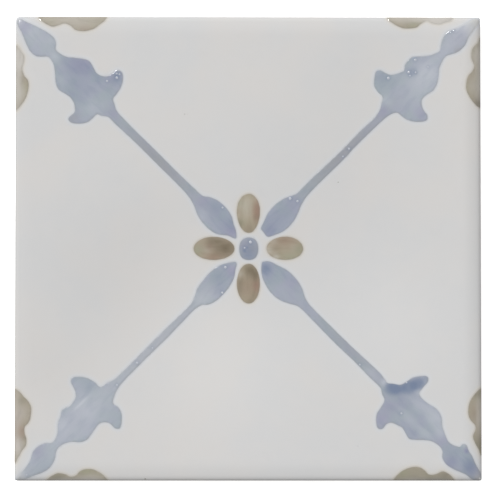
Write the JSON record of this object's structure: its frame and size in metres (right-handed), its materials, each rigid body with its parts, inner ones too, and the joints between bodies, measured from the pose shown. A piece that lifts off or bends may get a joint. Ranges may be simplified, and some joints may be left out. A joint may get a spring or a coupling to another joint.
{
  "type": "decorative ceramic wall tile",
  "caption": "Square glazed ceramic wall tile with a painted trellis and rosette face, rounded arris and grooved back.",
  "frame": {"origin": "middle of the back, on the surface that the tile lies on", "axes": "+Z out of the glazed face, +Y towards the top of the pattern as pictured, +X to its right"},
  "size_m": [0.152, 0.152, 0.0095],
  "materials": {
    "white_glaze": "gloss off-white glaze",
    "blue_glaze": "gloss grey-blue painted glaze",
    "taupe_glaze": "gloss taupe painted glaze",
    "fired_clay": "matt unglazed clay"
  },
  "bodies": {
    "root": {"tile": "white_glaze"}
  },
  "joints": []
}
